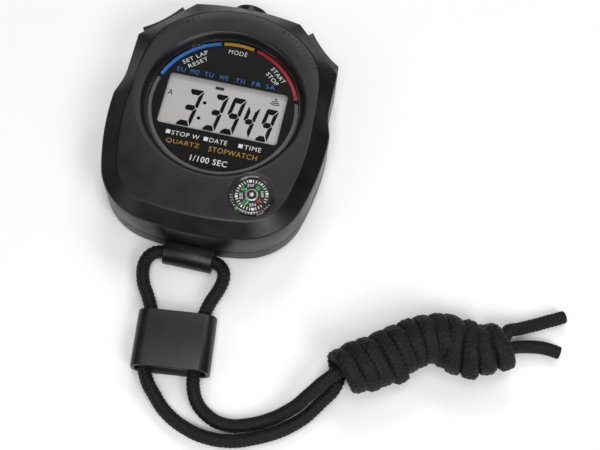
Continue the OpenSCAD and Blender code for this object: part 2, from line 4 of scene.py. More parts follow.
import bmesh
import bpy
import numpy as np
from mathutils import Matrix, Vector
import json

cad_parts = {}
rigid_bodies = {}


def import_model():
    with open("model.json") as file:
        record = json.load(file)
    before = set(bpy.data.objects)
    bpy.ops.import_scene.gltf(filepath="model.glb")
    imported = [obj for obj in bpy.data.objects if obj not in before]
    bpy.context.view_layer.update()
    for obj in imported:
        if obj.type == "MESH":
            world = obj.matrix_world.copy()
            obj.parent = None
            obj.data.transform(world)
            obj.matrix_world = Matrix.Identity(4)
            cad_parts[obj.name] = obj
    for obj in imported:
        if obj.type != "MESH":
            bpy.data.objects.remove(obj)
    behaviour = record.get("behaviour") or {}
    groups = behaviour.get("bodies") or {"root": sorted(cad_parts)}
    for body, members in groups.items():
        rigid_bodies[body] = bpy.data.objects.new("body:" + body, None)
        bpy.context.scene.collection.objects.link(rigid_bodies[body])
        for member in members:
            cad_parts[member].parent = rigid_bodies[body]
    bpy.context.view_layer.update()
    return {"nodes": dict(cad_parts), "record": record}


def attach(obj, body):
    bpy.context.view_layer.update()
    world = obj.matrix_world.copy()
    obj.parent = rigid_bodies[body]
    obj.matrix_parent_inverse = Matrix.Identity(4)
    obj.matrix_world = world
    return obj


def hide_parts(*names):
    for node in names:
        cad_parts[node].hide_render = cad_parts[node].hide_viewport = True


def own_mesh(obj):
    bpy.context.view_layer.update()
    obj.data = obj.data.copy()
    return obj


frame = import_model()
MM = 0.001

# Sizes and places of the CAD that the pieces below share, in millimetres
FACE_Z, SPLIT_Z, CEILING_Z = 17.5, 5.5, 15.7
RECESS_R, SEAT_CUP_R = 20.8, 22.4
SEAT_Z, DIAL_Z = 13.8, 14.0
WALL = 1.8
COMPASS = (13.6, -25.0)
CHANNEL_Y, CHANNEL_Z, CHANNEL_R = -39.9, 3.2, 1.95
LUG_W = 12.9
SCREWS = ((11, 26.3), (-11, 26.3), (19.5, -26), (-19.5, -26))
BUTTON_Z = 8.2


# ---------------------------------------------------------------- camera

def add_camera():
    data = bpy.data.cameras.new("camera")
    data.lens = 66
    data.sensor_width = 36
    data.clip_start = 0.01
    camera = bpy.data.objects.new("camera", data)
    bpy.context.scene.collection.objects.link(camera)
    right = Vector((0.9775, 0.2078, 0.0355))
    up = Vector((-0.2051, 0.8986, 0.3879))
    back = Vector((0.0487, -0.3864, 0.9210))
    turn = Matrix((right, up, back)).transposed().to_4x4()
    camera.matrix_world = Matrix.Translation((0.0410, -0.1382, 0.2743)) @ turn
    bpy.context.scene.camera = camera
    bpy.context.scene.view_settings.view_transform = "Standard"


add_camera()


# ---------------------------------------------------------------- materials

def nodes_of(name):
    material = bpy.data.materials.new(name)
    material.use_nodes = True
    tree = material.node_tree
    tree.nodes.clear()
    output = tree.nodes.new("ShaderNodeOutputMaterial")
    return material, tree, output


def noise(tree, scale, detail=2.0, stretch=None):
    coords = tree.nodes.new("ShaderNodeTexCoord")
    texture = tree.nodes.new("ShaderNodeTexNoise")
    texture.inputs["Scale"].default_value = scale
    texture.inputs["Detail"].default_value = detail
    if stretch:
        mapping = tree.nodes.new("ShaderNodeMapping")
        mapping.inputs["Scale"].default_value = stretch
        tree.links.new(coords.outputs["Object"], mapping.inputs["Vector"])
        tree.links.new(mapping.outputs["Vector"], texture.inputs["Vector"])
    else:
        tree.links.new(coords.outputs["Object"], texture.inputs["Vector"])
    return texture.outputs["Fac"]


def spread(tree, value, low, high, start=0.3, end=0.7):
    node = tree.nodes.new("ShaderNodeMapRange")
    node.inputs["From Min"].default_value = start
    node.inputs["From Max"].default_value = end
    node.inputs["To Min"].default_value = low
    node.inputs["To Max"].default_value = high
    tree.links.new(value, node.inputs["Value"])
    return node.outputs["Result"]


def finish_of(
    name, color, rough, metallic=0.0, mottle=0.12, mottle_scale=180, grain=None, rough_spread=0.06,
    sheen=0.0, coat=0.0, stretch=None, specular=0.5,
):
    """A surface with uneven colour and gloss, and a fine grain of (scale, depth in metres)."""
    material, tree, output = nodes_of(name)
    shader = tree.nodes.new("ShaderNodeBsdfPrincipled")
    tree.links.new(shader.outputs["BSDF"], output.inputs["Surface"])
    shader.inputs["Metallic"].default_value = metallic
    shader.inputs["Specular IOR Level"].default_value = specular
    shader.inputs["Sheen Weight"].default_value = sheen
    shader.inputs["Coat Weight"].default_value = coat
    shader.inputs["Coat Roughness"].default_value = 0.08
    patches = noise(tree, mottle_scale, 4.0, stretch)
    mix = tree.nodes.new("ShaderNodeMix")
    mix.data_type = "RGBA"
    mix.inputs["A"].default_value = [c * (1 - mottle) for c in color] + [1]
    mix.inputs["B"].default_value = [min(1, c * (1 + mottle)) for c in color] + [1]
    tree.links.new(spread(tree, patches, 0, 1), mix.inputs["Factor"])
    tree.links.new(mix.outputs["Result"], shader.inputs["Base Color"])
    low, high = max(0.02, rough - rough_spread), min(1, rough + rough_spread)
    tree.links.new(spread(tree, patches, low, high), shader.inputs["Roughness"])
    if grain:
        bump = tree.nodes.new("ShaderNodeBump")
        bump.inputs["Strength"].default_value = 1.0
        bump.inputs["Distance"].default_value = grain[1]
        tree.links.new(noise(tree, grain[0], 2.0, stretch), bump.inputs["Height"])
        tree.links.new(bump.outputs["Normal"], shader.inputs["Normal"])
    return material


def clear_of(name, tint=(0.985, 0.985, 0.985), ior=1.49, haze=0.03):
    """Clear plastic or glass that lets light straight through and reflects by its angle."""
    material, tree, output = nodes_of(name)
    through = tree.nodes.new("ShaderNodeBsdfTransparent")
    through.inputs["Color"].default_value = list(tint) + [1]
    gloss = tree.nodes.new("ShaderNodeBsdfGlossy")
    edge_on = tree.nodes.new("ShaderNodeLayerWeight")
    rise = tree.nodes.new("ShaderNodeMath")
    rise.operation = "POWER"
    rise.inputs[1].default_value = 5
    tree.links.new(edge_on.outputs["Facing"], rise.inputs[0])
    straight_on = ((ior - 1) / (ior + 1)) ** 2
    mix = tree.nodes.new("ShaderNodeMixShader")
    smudges = noise(tree, 90, 5.0)
    tree.links.new(spread(tree, smudges, haze * 0.5, haze * 2), gloss.inputs["Roughness"])
    tree.links.new(spread(tree, rise.outputs["Value"], straight_on, 1, 0, 1), mix.inputs["Fac"])
    tree.links.new(through.outputs["BSDF"], mix.inputs[1])
    tree.links.new(gloss.outputs["BSDF"], mix.inputs[2])
    tree.links.new(mix.outputs["Shader"], output.inputs["Surface"])
    return material


LOOKS = {
    "case_plastic": finish_of(
        "case_plastic", (0.0036, 0.0036, 0.0038), 0.37, grain=(5200, 0.000018), mottle=0.1,
        specular=0.42,
    ),
    "button_plastic": finish_of(
        "button_plastic", (0.0045, 0.0045, 0.0048), 0.36, grain=(4200, 0.000012), specular=0.4
    ),
    "window_plastic": clear_of("window_plastic"),
    "dial_print": finish_of(
        "dial_print", (0.0045, 0.0045, 0.0048), 0.45, mottle_scale=300, specular=0.12
    ),
    "lcd_film": finish_of(
        "lcd_film", (0.48, 0.472, 0.462), 0.42, mottle=0.04, mottle_scale=60, grain=(6000, 0.000004)
    ),
    "lcd_glass": clear_of("lcd_glass", (0.95, 0.955, 0.95), 1.52),
    "frame_plastic": finish_of(
        "frame_plastic", (0.72, 0.72, 0.69), 0.5, mottle=0.04, grain=(3000, 0.00001)
    ),
    "zebra_rubber": finish_of(
        "zebra_rubber", (0.55, 0.25, 0.30), 0.6, mottle=0.5, stretch=(30, 1, 1)
    ),
    "board_laminate": finish_of(
        "board_laminate", (0.02, 0.13, 0.05), 0.32, mottle=0.35, mottle_scale=700,
        grain=(900, 0.00003),
    ),
    "chip_epoxy": finish_of("chip_epoxy", (0.012, 0.012, 0.013), 0.28, grain=(900, 0.00002)),
    "chip_ceramic": finish_of("chip_ceramic", (0.60, 0.49, 0.34), 0.6, grain=(4000, 0.00001)),
    "screw_steel": finish_of(
        "screw_steel", (0.58, 0.58, 0.60), 0.34, 1.0, grain=(2500, 0.000006), stretch=(1, 1, 8)
    ),
    "spring_steel": finish_of(
        "spring_steel", (0.64, 0.64, 0.65), 0.28, 1.0, grain=(2500, 0.000004), stretch=(1, 8, 1)
    ),
    "can_metal": finish_of(
        "can_metal", (0.70, 0.70, 0.70), 0.26, 1.0, mottle=0.06, grain=(1800, 0.000004)
    ),
    "contact_brass": finish_of(
        "contact_brass", (0.78, 0.57, 0.24), 0.32, 1.0, mottle=0.15, grain=(1800, 0.000004)
    ),
    "compass_housing": finish_of(
        "compass_housing", (0.004, 0.004, 0.0045), 0.16, coat=0.5, mottle_scale=400
    ),
    "card_plastic": finish_of(
        "card_plastic", (0.004, 0.004, 0.0045), 0.45, mottle_scale=900, specular=0.15
    ),
    "cord_braid": finish_of(
        "cord_braid", (0.0042, 0.0042, 0.0046), 0.58, mottle=0.6, mottle_scale=1400,
        grain=(5200, 0.00009), sheen=0.03, rough_spread=0.12, specular=0.24,
    ),
    "slider_plastic": finish_of(
        "slider_plastic", (0.0055, 0.0055, 0.0058), 0.40, grain=(3600, 0.000014), mottle=0.1,
        specular=0.42,
    ),
}
PRINT = {
    "white": finish_of("print_white", (0.72, 0.72, 0.71), 0.45, mottle=0.05, mottle_scale=2500),
    "blue": finish_of("print_blue", (0.014, 0.16, 0.50), 0.42, mottle=0.08, mottle_scale=2500),
    "gold": finish_of("print_gold", (0.43, 0.22, 0.010), 0.42, mottle=0.08, mottle_scale=2500),
    "red": finish_of("print_red", (0.33, 0.008, 0.014), 0.42, mottle=0.08, mottle_scale=2500),
    "grey": finish_of("print_grey", (0.095, 0.095, 0.098), 0.42, mottle=0.08, mottle_scale=2500),
    # A lighter grey for the lens's rim: a painted highlight of its edge catching light
    "edge": finish_of("painted_lens_rim_highlight", (0.035, 0.035, 0.036), 0.3, mottle_scale=300),
    "green": finish_of("print_green", (0.12, 0.72, 0.17), 0.42, mottle=0.08, mottle_scale=2500),
    "ink": finish_of(
        "display_ink", (0.0025, 0.0025, 0.003), 0.6, mottle=0.1, mottle_scale=900, specular=0.1
    ),
    "faint": finish_of(
        "display_faint", (0.02, 0.02, 0.021), 0.6, mottle_scale=900, specular=0.2
    ),
    "crystal": clear_of("compass_clear", ior=1.3, haze=0.26),
    "silver_ink": finish_of(
        "print_silver", (0.55, 0.55, 0.55), 0.42, mottle=0.25, mottle_scale=2500
    ),
    "silver": finish_of(
        "hub_silver", (0.50, 0.50, 0.51), 0.34, 0.5, mottle=0.3, grain=(1500, 0.00006)
    ),
}


def paint_braid_gap_shade(material):
    """Paints shade onto the cord, darker between its yarns and full colour on their tops, by the
    height each point was given.
    """
    tree = material.node_tree
    shader = next(n for n in tree.nodes if n.type == "BSDF_PRINCIPLED")
    link = shader.inputs["Base Color"].links[0]
    lift = tree.nodes.new("ShaderNodeAttribute")
    lift.attribute_name = "lift"
    mix = tree.nodes.new("ShaderNodeMix")
    mix.data_type = "RGBA"
    # The painted shade: the colour put in the gaps between the yarns
    mix.inputs["A"].default_value = (0.0015, 0.0015, 0.0017, 1)
    tree.links.new(link.from_socket, mix.inputs["B"])
    tree.links.new(spread(tree, lift.outputs["Fac"], 0, 1, 0.05, 0.75), mix.inputs["Factor"])
    tree.links.new(mix.outputs["Result"], shader.inputs["Base Color"])


paint_braid_gap_shade(LOOKS["cord_braid"])

SLOT_OF = {s["node"]: s["material_slot"] for s in frame["record"]["subparts"]}
BODY_OF = {
    node: body
    for body, nodes in frame["record"]["behaviour"]["bodies"].items()
    for node in nodes
}


# ---------------------------------------------------------------- mesh helpers

def piece(name, mesh, material, body="case", node=(), sharp=30):
    """A finished piece of the object, riding on a body and standing for CAD nodes."""
    mesh.materials.clear()
    mesh.materials.append(material)
    mesh.shade_smooth()
    mesh.set_sharp_from_angle(angle=math.radians(sharp))
    obj = bpy.data.objects.new(name, mesh)
    bpy.context.scene.collection.objects.link(obj)
    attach(obj, body)
    if node:
        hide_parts(*node)
    return obj


def mesh_of(bm, name):
    mesh = bpy.data.meshes.new(name)
    bm.to_mesh(mesh)
    bm.free()
    return mesh


def grid_mesh(name, rings, closed_loop=False):
    """Joins rings of equal length, in millimetres, into a closed solid."""
    count = len(rings[0])
    verts = [tuple(c * MM for c in p) for ring in rings for p in ring]
    faces = []
    last = len(rings) if closed_loop else len(rings) - 1
    for k in range(last):
        a, b = k * count, ((k + 1) % len(rings)) * count
        for i in range(count):
            j = (i + 1) % count
            faces.append((a + i, a + j, b + j, b + i))
    if not closed_loop:
        faces.append(tuple(range(count - 1, -1, -1)))
        faces.append(tuple((len(rings) - 1) * count + i for i in range(count)))
    mesh = bpy.data.meshes.new(name)
    mesh.from_pydata(verts, [], faces)
    bm = bmesh.new()
    bm.from_mesh(mesh)
    bmesh.ops.recalc_face_normals(bm, faces=bm.faces)
    bm.to_mesh(mesh)
    bm.free()
    return mesh


def evaluated(obj):
    depsgraph = bpy.context.evaluated_depsgraph_get()
    return bpy.data.meshes.new_from_object(obj.evaluated_get(depsgraph))


def combined(mesh, *others):
    """Cuts or joins closed meshes: each other is (mesh, "DIFFERENCE" or "UNION")."""
    scene = bpy.context.scene.collection.objects
    for other, operation in others:
        base, tool = bpy.data.objects.new("base", mesh), bpy.data.objects.new("tool", other)
        scene.link(base)
        scene.link(tool)
        modifier = base.modifiers.new("cut", "BOOLEAN")
        modifier.operation = operation
        modifier.solver = "MANIFOLD"
        modifier.object = tool
        mesh = evaluated(base)
        bpy.data.objects.remove(base)
        bpy.data.objects.remove(tool)
    return mesh


def softened(mesh, width, segments=2):
    """The same solid with its sharp edges rounded by width millimetres."""
    bm = bmesh.new()
    bm.from_mesh(mesh)
    bmesh.ops.remove_doubles(bm, verts=bm.verts, dist=0.001 * MM)
    bmesh.ops.dissolve_limit(
        bm, angle_limit=math.radians(1.5), verts=bm.verts, edges=bm.edges
    )
    limit = math.radians(30)
    edges = [e for e in bm.edges if len(e.link_faces) == 2 and e.calc_face_angle(0) > limit]
    bmesh.ops.bevel(
        bm, geom=edges, offset=width * MM, segments=segments, profile=0.5,
        affect="EDGES", clamp_overlap=True,
    )
    bmesh.ops.recalc_face_normals(bm, faces=bm.faces)
    return mesh_of(bm, mesh.name + "_soft")


def box_mesh(low, high, turn):
    bm = bmesh.new()
    bmesh.ops.create_cube(bm, size=1)
    for v in bm.verts:
        v.co = Vector([(low[i] + (v.co[i] + 0.5) * (high[i] - low[i])) * MM for i in range(3)])
    bm.transform(turn)
    return mesh_of(bm, "box")


def rod_mesh(start, end, radius, sides=64):
    start, end = Vector(start) * MM, Vector(end) * MM
    bm = bmesh.new()
    bmesh.ops.create_cone(
        bm, segments=sides, radius1=radius * MM, radius2=radius * MM,
        depth=(end - start).length, cap_ends=True,
    )
    turn = (end - start).to_track_quat("Z", "Y").to_matrix().to_4x4()
    bm.transform(Matrix.Translation((start + end) / 2) @ turn)
    return mesh_of(bm, "rod")


def turned(profile, centre=(0, 0), sides=96):
    """A closed solid of revolution about Z through centre; the profile starts and ends on it."""
    rings = [
        [
            (centre[0] + r * math.cos(2 * math.pi * i / sides),
             centre[1] + r * math.sin(2 * math.pi * i / sides), z)
            for i in range(sides)
        ]
        for r, z in profile
    ]
    mesh = grid_mesh("turned", rings)
    bm = bmesh.new()
    bm.from_mesh(mesh)
    bmesh.ops.remove_doubles(bm, verts=bm.verts, dist=0.0005 * MM)
    return mesh_of(bm, "turned")


def refined(node, width, segments=2):
    """A CAD node again, with rounded edges."""
    mesh = softened(frame["nodes"][node].data.copy(), width, segments)
    slot = SLOT_OF[node]
    piece(node + "_moulded", mesh, LOOKS[slot], BODY_OF[node], (node,))


# ---------------------------------------------------------------- cords

LEFT_ROUTE = [
    (0, -39.9, 3.2), (-3.5, -39.9, 3.2), (-6.6, -39.9, 3.2), (-8.6, -40.5, 3.2),
    (-10.2, -41.9, 3.2), (-10.9, -44, 3.1), (-10.7, -46.6, 3), (-9.7, -49.4, 3),
    (-8, -52.2, 3), (-6.4, -54.9, 3), (-5.2, -57.6, 3), (-4.8, -61, 3),
    (-4.5, -64.5, 3), (-4.1, -68.2, 3), (-3.4, -71.9, 3), (-1.9, -74.7, 3),
    (0.4, -77.3, 2.7), (3.4, -80.2, 1.9), (7.2, -82.6, 1.8), (11.4, -84.2, 1.8),
    (16, -85, 1.8), (21.8, -84.6, 1.8), (28.2, -82.3, 1.8), (34.4, -78.7, 1.8),
    (38.6, -74.8, 2.0), (41.6, -70.6, 2.4), (44.2, -66.6, 3.0),
]
RIGHT_ROUTE = [
    (0, -39.9, 3.2), (3.5, -39.9, 3.2), (6.6, -39.9, 3.2), (8.5, -40.5, 3.2),
    (9.9, -42, 3.2), (10.3, -44.2, 3.1), (9.8, -47, 3), (8.8, -50, 3),
    (8, -53, 3), (7.7, -56, 3), (7.9, -59.6, 3), (8.3, -63.2, 3),
    (8.6, -66.8, 3), (9, -70.4, 3), (9.6, -73.4, 3), (11, -76.4, 2.7),
    (13.7, -79, 2), (17.4, -80.6, 1.8), (21.6, -80.7, 1.8), (26.04, -79.32, 1.9),
    (31.08, -76.74, 2.5), (35.68, -73.1, 3.96), (38.8, -69.4, 5.6), (41.9, -65.6, 6.9),
]
CORE = [
    (45, -62.6, 7.2), (48.4, -60.5, 7.1), (53, -57.6, 6.9), (57.4, -54.4, 6.9),
    (61.8, -51.2, 6.9), (66.5, -49, 6.9), (70.5, -48.5, 6.9), (74.5, -49.5, 6.9),
    (78, -49.6, 6.7), (81.8, -48.5, 5.6),
]
HANK_AXIS = [
    (44, -63, 6.9), (48, -60.8, 6.9), (53, -57.6, 6.9), (57.4, -54.4, 6.9),
    (61.8, -51.2, 6.9), (66.5, -49, 6.9), (70.5, -48.5, 6.9), (74.5, -49.5, 6.9),
    (78, -49.8, 6.9), (81.6, -48.4, 6.9), (85.6, -45.8, 6.9),
]
TAIL_A_ROUTE = [
    (85.0, -42.6, 5.2), (88, -40.6, 3.6), (92, -38.2, 2), (96, -36, 1.8), (99.7, -34, 1.8),
]
TAIL_B_ROUTE = [
    (85.4, -46.8, 3.9), (89, -45, 2.6), (92.6, -44, 1.9), (96.2, -43.7, 1.8), (99.6, -44.1, 1.8),
]
CORD_D = 3.5
WRAP_R = 5.15
TURNS = 12.2


def smooth_line(points, step):
    """A smooth curve through the points, sampled every step millimetres."""
    p = [np.array(q, float) for q in points]
    p = [2 * p[0] - p[1]] + p + [2 * p[-1] - p[-2]]
    line = []
    for a, b, c, d in zip(p, p[1:], p[2:], p[3:]):
        ab, bc, cd = (max(np.linalg.norm(y - x) ** 0.5, 1e-6) for x, y in ((a, b), (b, c), (c, d)))
        m1 = (c - b) + bc * ((b - a) / ab - (c - a) / (ab + bc))
        m2 = (c - b) + bc * ((d - c) / cd - (d - b) / (bc + cd))
        for t in np.linspace(0, 1, 24, endpoint=False):
            line.append(
                (2 * t**3 - 3 * t**2 + 1) * b + (t**3 - 2 * t**2 + t) * m1
                + (-2 * t**3 + 3 * t**2) * c + (t**3 - t**2) * m2
            )
    line.append(p[-2])
    return resample(np.array(line), step)


def resample(line, step):
    lengths = np.concatenate([[0], np.cumsum(np.linalg.norm(np.diff(line, axis=0), axis=1))])
    count = max(2, int(round(lengths[-1] / step)) + 1)
    wanted = np.linspace(0, lengths[-1], count)
    return np.stack([np.interp(wanted, lengths, line[:, k]) for k in range(3)], axis=1)


def length_of(line):
    return float(np.linalg.norm(np.diff(line, axis=0), axis=1).sum())


def wraps():
    """The turns of cord round the hank, from underneath its near end to its far end."""
    axis = smooth_line(HANK_AXIS, 0.1)
    along = np.gradient(axis, axis=0)
    along /= np.linalg.norm(along, axis=1)[:, None]
    side = np.cross([0, 0, 1], along)
    first, last = 0.9, len(axis) * 0.1 - 1.5
    tucked_r, settling = 3.45, 0.9
    points = []
    for turn in np.linspace(0, TURNS, 660):
        phi = 2 * math.pi * turn - math.pi
        s = first + (last - first) * turn / TURNS + 0.15 * math.sin(phi * 0.37)
        near_bulge = np.interp(
            s, (0, 5, 15, 18.5, 21, 27, 34, 38, 43), (0, 0.6, 1.6, 0.5, -0.1, 0, 2.2, 0.2, -0.4)
        )
        far_bulge = np.interp(s, (1, 6, 30, 36, 43), (-1, -0.3, -0.2, 0.5, -0.3))
        lean = np.interp(s, (3, 12, 20, 26, 31, 35, 40), (1, 0, -0.8, -0.3, 1.3, 1.3, -0.3))
        start, end = min(1, turn / settling), min(1, (TURNS - turn) / settling)
        i = max(0, min(len(axis) - 1, int((s + lean * start * end * math.sin(phi)) / 0.1)))
        grown = start * (2 - start) * (0.6 + 0.4 * end * (2 - end))
        r = tucked_r + (WRAP_R - tucked_r) * grown
        bulge = near_bulge * max(0, math.sin(phi)) + far_bulge * min(0, math.sin(phi))
        sag = 0.1 * math.sin(phi * 0.53 + 1)
        points.append(
            axis[i] + np.array([0, 0, 1]) * r * math.cos(phi)
            - side[i] * ((r + sag) * math.sin(phi) + bulge * start * end)
        )
    return points


def pressed(line, start, end):
    """How much of the wound cord is pressed flat against its neighbours, and along what line."""
    axis = smooth_line(HANK_AXIS, 0.5)
    along = np.gradient(axis, axis=0)
    along /= np.linalg.norm(along, axis=1)[:, None]
    near = np.linalg.norm(line[:, None, :] - axis[None, :, :], axis=2).argmin(axis=1)
    v = np.linspace(0, length_of(line), len(line))
    weight = np.clip((v - start) / 5, 0, 1) * np.clip((end - v) / 5, 0, 1)
    return weight, along[near]


def braided_tube(name, line, press=None):
    """A braided cord: sixteen yarns that pass two over and two under each other."""
    yarns, cell, sides = 8, 1.1, 40
    valley, yarn_rise = 0.27, 0.31
    tangents = np.gradient(line, axis=0)
    tangents /= np.linalg.norm(tangents, axis=1)[:, None]
    normal = np.cross(tangents[0], [0, 0, 1])
    normals = []
    for t in tangents:
        normal = normal - t * normal.dot(t)
        normal /= np.linalg.norm(normal)
        normals.append(normal)
    normals = np.array(normals)
    binormals = np.cross(tangents, normals)
    theta = np.arange(sides) / sides
    step = length_of(line) / (len(line) - 1)
    v = np.arange(len(line)) * step
    a = yarns * theta[None, :] + v[:, None] / cell
    b = yarns * theta[None, :] - v[:, None] / cell
    ia, ib = np.floor(a), np.floor(b)
    fa, fb = a - ia, b - ib
    turn = np.mod(ia + ib, 4)
    over = turn < 2
    across = np.where(over, fa, fb)
    along = np.where(over, (fb + turn) / 2, (fa + turn - 2) / 2)
    across = np.clip(across, 0.0, 1.0)
    height = np.sqrt(np.sin(np.pi * across)) * (0.35 + 0.65 * np.sin(np.pi * along))
    radius = CORD_D / 2 - valley + yarn_rise * height
    wobble = np.sin(v[:, None] * 0.9 + 2 * np.pi * theta[None, :]) * np.sin(v[:, None] * 0.23)
    radius = radius + 0.03 * wobble
    end = np.clip((v[-1] - v) / 0.9, 0, 1)[:, None]
    radius = radius * end + (CORD_D / 2 - 0.12) * (1 - end)
    radius[-1] *= 0.9
    outward = (
        np.cos(2 * np.pi * theta)[None, :, None] * normals[:, None, :]
        + np.sin(2 * np.pi * theta)[None, :, None] * binormals[:, None, :]
    )
    if press:
        long_way, short_way, fullness = 1.33, 0.94, 2.5
        weight, along = press
        along = along - tangents * (along * tangents).sum(axis=1)[:, None]
        along /= np.linalg.norm(along, axis=1)[:, None]
        c = np.abs((outward * along[:, None, :]).sum(axis=2)).clip(0, 1)
        q = np.sqrt(1 - c * c)
        oval = ((c / long_way) ** fullness + (q / short_way) ** fullness) ** (-1 / fullness)
        radius = radius * (1 + weight[:, None] * (oval - 1))
    ring = line[:, None, :] + radius[:, :, None] * outward
    ring[:, :, 2] = np.maximum(ring[:, :, 2], 0.02)
    mesh = grid_mesh(name, ring.tolist())
    # The yarns' height also sets the painted shade between them, in the cord's material
    lift = mesh.attributes.new("lift", "FLOAT", "POINT")
    lift.data.foreach_set("value", height.astype(np.float32).ravel())
    obj = piece(name, mesh, LOOKS["cord_braid"], "case", sharp=80)
    path = [tuple(c * MM for c in line[i]) for i in range(0, len(line), 4)]
    path.append(tuple(c * MM for c in line[-1]))
    return obj, path


def add_lanyard():
    """The left strand is wound round the right one, and each ends in a cut tail."""
    wound = smooth_line(LEFT_ROUTE + wraps()[::12] + TAIL_A_ROUTE, 0.2)
    inner = smooth_line(RIGHT_ROUTE + CORE + TAIL_B_ROUTE, 0.2)
    start = length_of(smooth_line(LEFT_ROUTE, 0.2))
    end = length_of(wound) - length_of(smooth_line(TAIL_A_ROUTE, 0.2))
    made = []
    for name, line, press, exit_x, replaced in (
        (
            "cord_wound", wound, pressed(wound, start, end), -0.0065,
            ("lanyard_left_strand", "lanyard_tail_a", "lanyard_hank"),
        ),
        ("cord_inner", inner, None, 0.0065, ("lanyard_right_strand", "lanyard_tail_b")),
    ):
        obj, path = braided_tube(name, line, press)
        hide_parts(*replaced)
        exit_point = (exit_x, CHANNEL_Y * MM, CHANNEL_Z * MM)
        made.append((obj, path, exit_point, length_of(line)))
        print(name, "length mm", round(length_of(line), 1))
    return made


LANYARD = add_lanyard()


# ---------------------------------------------------------------- outlines, as in the CAD

def unit(v):
    d = math.hypot(*v)
    return (v[0] / d, v[1] / d)


def arc(c, r, a, b, n):
    steps = [math.radians(a + (b - a) * i / n) for i in range(n + 1)]
    return [(c[0] + r * math.cos(s), c[1] + r * math.sin(s)) for s in steps]


def angle(v):
    return math.degrees(math.atan2(v[1], v[0]))


def minus(a, b):
    return (a[0] - b[0], a[1] - b[1])


def tangent_centre(c1, r1, c2, r2):
    d = math.hypot(*minus(c2, c1))
    a = (r1 * r1 - r2 * r2 + d * d) / (2 * d)
    u = unit(minus(c2, c1))
    h = math.sqrt(r1 * r1 - a * a)
    return (c1[0] + a * u[0] - h * u[1], c1[1] + a * u[1] + h * u[0])


def rounded_corner(before, corner, after):
    """Points of the arc that rounds a corner between two straight runs."""
    radius = 0.7
    u, w = unit(minus(before, corner)), unit(minus(after, corner))
    half = math.acos(u[0] * w[0] + u[1] * w[1]) / 2
    d = radius / math.tan(half)
    m = unit((u[0] + w[0], u[1] + w[1]))
    c = (corner[0] + m[0] * radius / math.sin(half), corner[1] + m[1] * radius / math.sin(half))
    p = (corner[0] + u[0] * d, corner[1] + u[1] * d)
    q = (corner[0] + w[0] * d, corner[1] + w[1] * d)
    a, b = angle(minus(p, c)), angle(minus(q, c))
    if b - a > 180:
        b -= 360
    if a - b > 180:
        b += 360
    return arc(c, radius, a, b, 6)


def straight(a, b, n):
    return [(a[0] + (b[0] - a[0]) * i / n, a[1] + (b[1] - a[1]) * i / n) for i in range(1, n)]


BOTTOM_C = (0, 82 - 37.6)
SIDE_C = (29.7 - 75, -4)
CORNER_C = tangent_centre(BOTTOM_C, 82 - 17, SIDE_C, 75 - 17)
TOP_CORNER, SIDE_CORNER = (14.8, 30.1), (28, 16.9)
# The top is an arc that rises 1.5 over a half width of 14.8
TOP_R = (14.8**2 + 1.5**2) / 3


def case_outline():
    low, high = angle(minus(CORNER_C, BOTTOM_C)), angle(minus(CORNER_C, SIDE_C))
    waist = [(29.7, -3), (29.55, -1.9), (29.15, -0.6), (28.6, 1.3), (28.15, 3.3), (28, 5.2)]
    waist = [tuple(p[:2]) for p in smooth_line([(x, y, 0) for x, y in waist], 0.6)]
    side = rounded_corner((28, 5.2), SIDE_CORNER, TOP_CORNER)
    top_c = (0, 31.6 - TOP_R)
    top_arc = arc(top_c, TOP_R, angle(minus(TOP_CORNER, top_c)), 90, 14)
    top = rounded_corner(SIDE_CORNER, TOP_CORNER, top_arc[1])
    half = (
        arc(BOTTOM_C, 82, -90, low, 8)
        + arc(CORNER_C, 17, low, high, 30)[1:]
        + arc(SIDE_C, 75, high, 0, 12)[1:]
        + waist
        + straight(waist[-1], side[0], 10)
        + side
        + straight(side[-1], top[0], 16)
        + top
        + top_arc[1:]
    )
    return half + [(-x, y) for x, y in reversed(half[1:-1])]


OUTLINE = case_outline()
COUNT = len(OUTLINE)


def inset(d):
    result = []
    for i, p in enumerate(OUTLINE):
        q, r = OUTLINE[i - 1], OUTLINE[(i + 1) % COUNT]
        a, b = unit(minus(p, q)), unit(minus(r, p))
        na, nb = (a[1], -a[0]), (b[1], -b[0])
        k = d / (1 + na[0] * nb[0] + na[1] * nb[1])
        result.append((p[0] - k * (na[0] + nb[0]), p[1] - k * (na[1] + nb[1])))
    return result


def reach(u, c, r):
    k = u[0] * c[0] + u[1] * c[1]
    return k + math.sqrt(k * k + r * r - c[0] ** 2 - c[1] ** 2)


# The raised panel's outline, by its reach from the dial's axis
P_BOTTOM_C, P_SIDE_C = (0, 80 - 33.65), (24.85 - 70, -6)
P_CORNER_C = tangent_centre(P_BOTTOM_C, 80 - 12, P_SIDE_C, 70 - 12)


def along_circle(c, r):
    """Where the circle round c meets the panel's corner circle, as an angle about the dial."""
    u = unit(minus(P_CORNER_C, c))
    return angle((c[0] + r * u[0], c[1] + r * u[1]))


P_LOW, P_HIGH = along_circle(P_BOTTOM_C, 80), along_circle(P_SIDE_C, 70)


def panel_reach(u):
    u = (abs(u[0]), u[1])
    a = angle(u)
    if a < P_LOW:
        return reach(u, P_BOTTOM_C, 80)
    if a < P_HIGH:
        return reach(u, P_CORNER_C, 12)
    if u[1] * 24.85 > -6 * u[0]:
        side = 24.85 / max(u[0], 0.01)
    else:
        side = reach(u, P_SIDE_C, 70)
    top = 28 / (1 - 0.9 * max(0, -u[1]))
    return (side**-12 + top**-12) ** (-1 / 12)


DIRECTIONS = [unit(p) for p in OUTLINE]


def panel(d):
    return [(u[0] * (panel_reach(u) - d), u[1] * (panel_reach(u) - d)) for u in DIRECTIONS]


def at(points, z):
    return [(x, y, z) for x, y in points]


def between(a, b, t):
    return [tuple(p[k] + (q[k] - p[k]) * t for k in range(3)) for p, q in zip(a, b)]


# ---------------------------------------------------------------- case

DISH_C, DISH_R, DISH_SLOPE = (0, 1.6), 24.4, 0.07
BEZEL_R = 2
RIDGE_R = RECESS_R + BEZEL_R


